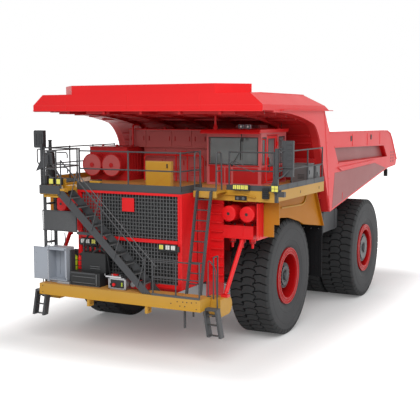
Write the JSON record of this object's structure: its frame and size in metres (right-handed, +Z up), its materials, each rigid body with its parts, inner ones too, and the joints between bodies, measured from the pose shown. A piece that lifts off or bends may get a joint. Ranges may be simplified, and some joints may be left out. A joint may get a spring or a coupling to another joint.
{
  "type": "mining dump truck",
  "caption": "Rigid rear-dump mining truck with a hollow tipping body, open front decks, glazed cab, steered front wheels and twin rear wheels.",
  "frame": {"origin": "on the ground under the middle of the truck's overall length and width", "axes": "+Z up; the truck faces -Y, so +Y points rearwards along its longest extent; +X is the truck's left, where the cab stands"},
  "size_m": [8.7, 15.5, 7.52],
  "materials": {
    "red_paint": "gloss",
    "yellow_paint": "satin",
    "grey_paint": "satin",
    "light_grey_paint": "satin",
    "pink_red_paint": "satin",
    "dark_steel": "rough",
    "bright_rod": "polished",
    "tyre_rubber": "matt",
    "black_rubber": "matt",
    "cab_glass": "gloss",
    "seat_fabric": "matt",
    "lamp_lens": "gloss",
    "silver_paint": "satin"
  },
  "bodies": {
    "chassis": {"frame": "red_paint", "deck_supports": "red_paint", "front_bumper": "yellow_paint", "engine_block": "dark_steel", "radiator_housing": "red_paint", "radiator_core": "dark_steel", "deck_center": "grey_paint", "deck_left": "yellow_paint", "deck_right": "yellow_paint", "fenders": "yellow_paint", "cab_shell": "red_paint", "cab_roof": "red_paint", "cab_windows": "cab_glass", "cab_seat": "seat_fabric", "cab_console": "grey_paint", "control_cabinet": "pink_red_paint", "resistor_grid_box": "pink_red_paint", "deck_locker": "yellow_paint", "deck_side_cabinets": "light_grey_paint", "air_cleaners": "red_paint", "stairway": "grey_paint", "access_ladder": "grey_paint", "boarding_ladders": "grey_paint", "deck_railings": "grey_paint", "bumper_railing": "grey_paint", "sign_panel": "light_grey_paint", "battery_box": "light_grey_paint", "tool_box": "grey_paint", "service_box": "silver_paint", "rear_axle": "red_paint", "suspension_struts": "grey_paint", "steering_barrels": "grey_paint", "fuel_tank": "grey_paint", "hydraulic_tank": "grey_paint", "mud_flaps": "black_rubber", "mirrors": "grey_paint", "lamps": "lamp_lens"},
    "cab_door": {"cab_door": "red_paint", "cab_door_window": "cab_glass"},
    "battery_lid": {"battery_box_door": "light_grey_paint"},
    "tipping_body": {"body_floor": "red_paint", "body_sides": "red_paint", "body_front_wall": "red_paint", "body_canopy": "red_paint"},
    "knuckle_left": {"spindle_left": "grey_paint"},
    "knuckle_right": {"spindle_right": "grey_paint"},
    "wheel_front_left": {"tyre_front_left": "tyre_rubber", "rim_front_left": "red_paint"},
    "wheel_front_right": {"tyre_front_right": "tyre_rubber", "rim_front_right": "red_paint"},
    "wheels_rear_left": {"tyres_rear_left": "tyre_rubber", "rims_rear_left": "red_paint"},
    "wheels_rear_right": {"tyres_rear_right": "tyre_rubber", "rims_rear_right": "red_paint"},
    "tie_rod": {"tie_rod": "grey_paint"},
    "steering_rod_left": {"steering_rod_left": "bright_rod"},
    "steering_rod_right": {"steering_rod_right": "bright_rod"},
    "hoist_barrels": {"hoist_barrels": "red_paint"},
    "hoist_stages": {"hoist_stages": "bright_rod"},
    "hoist_rods": {"hoist_rods": "bright_rod"}
  },
  "joints": [
    {"name": "dump", "type": "hinge", "parent": "chassis", "child": "tipping_body", "pos_m": [0, 4.3, 3.45], "axis": [-1, 0, 0], "range_deg": [0, 45]},
    {"name": "hoist_swing", "type": "hinge", "parent": "chassis", "child": "hoist_barrels", "pos_m": [0, 1, 1.65], "axis": [-1, 0, 0], "range_deg": [0, 8.8]},
    {"name": "hoist_stage_slide", "type": "slide", "parent": "hoist_barrels", "child": "hoist_stages", "axis": [0, 0.1339, 0.991], "range_m": [0, 1.1488]},
    {"name": "hoist_rod_slide", "type": "slide", "parent": "hoist_stages", "child": "hoist_rods", "axis": [0, 0.1339, 0.991], "range_m": [0, 1.1488]},
    {"name": "steer_left", "type": "hinge", "parent": "chassis", "child": "knuckle_left", "pos_m": [1.6, -3.2, 1.7875], "axis": [0, 0, 1], "range_deg": [-32, 32]},
    {"name": "steer_right", "type": "hinge", "parent": "chassis", "child": "knuckle_right", "pos_m": [-1.6, -3.2, 1.7875], "axis": [0, 0, 1], "range_deg": [-32, 32]},
    {"name": "tie_rod_pivot", "type": "hinge", "parent": "knuckle_left", "child": "tie_rod", "pos_m": [1.6, -2.6, 1.43], "axis": [0, 0, 1], "range_deg": [-32, 32]},
    {"name": "steering_rod_left_slide", "type": "slide", "parent": "chassis", "child": "steering_rod_left", "axis": [1, 0, 0], "range_m": [-0.239, 0.239]},
    {"name": "steering_rod_right_slide", "type": "slide", "parent": "chassis", "child": "steering_rod_right", "axis": [1, 0, 0], "range_m": [-0.239, 0.239]},
    {"name": "wheel_front_left_spin", "type": "hinge", "parent": "knuckle_left", "child": "wheel_front_left", "pos_m": [2.73, -3.2, 1.7875], "axis": [1, 0, 0], "continuous": true},
    {"name": "wheel_front_right_spin", "type": "hinge", "parent": "knuckle_right", "child": "wheel_front_right", "pos_m": [-2.73, -3.2, 1.7875], "axis": [1, 0, 0], "continuous": true},
    {"name": "wheels_rear_left_spin", "type": "hinge", "parent": "chassis", "child": "wheels_rear_left", "pos_m": [2.6, 3.15, 1.7875], "axis": [1, 0, 0], "continuous": true},
    {"name": "wheels_rear_right_spin", "type": "hinge", "parent": "chassis", "child": "wheels_rear_right", "pos_m": [-2.6, 3.15, 1.7875], "axis": [1, 0, 0], "continuous": true},
    {"name": "cab_door_hinge", "type": "hinge", "parent": "chassis", "child": "cab_door", "pos_m": [2.885, -3.18, 5.38], "axis": [0, 0, 1], "range_deg": [0, 90]},
    {"name": "battery_lid_hinge", "type": "hinge", "parent": "chassis", "child": "battery_lid", "pos_m": [-2.44, -7.58, 2.41], "axis": [0, 0, 1], "range_deg": [0, 180]}
  ],
  "couplings": [
    {"joint": "hoist_swing", "follows": "dump", "ratio": 0.1945},
    {"joint": "hoist_stage_slide", "follows": "dump", "m_per_rad": 1.4614},
    {"joint": "hoist_rod_slide", "follows": "dump", "m_per_rad": 1.4614},
    {"joint": "steer_right", "follows": "steer_left", "ratio": 1},
    {"joint": "tie_rod_pivot", "follows": "steer_left", "ratio": -1},
    {"joint": "steering_rod_left_slide", "follows": "steer_left", "m_per_rad": 0.427},
    {"joint": "steering_rod_right_slide", "follows": "steer_left", "m_per_rad": 0.427}
  ]
}
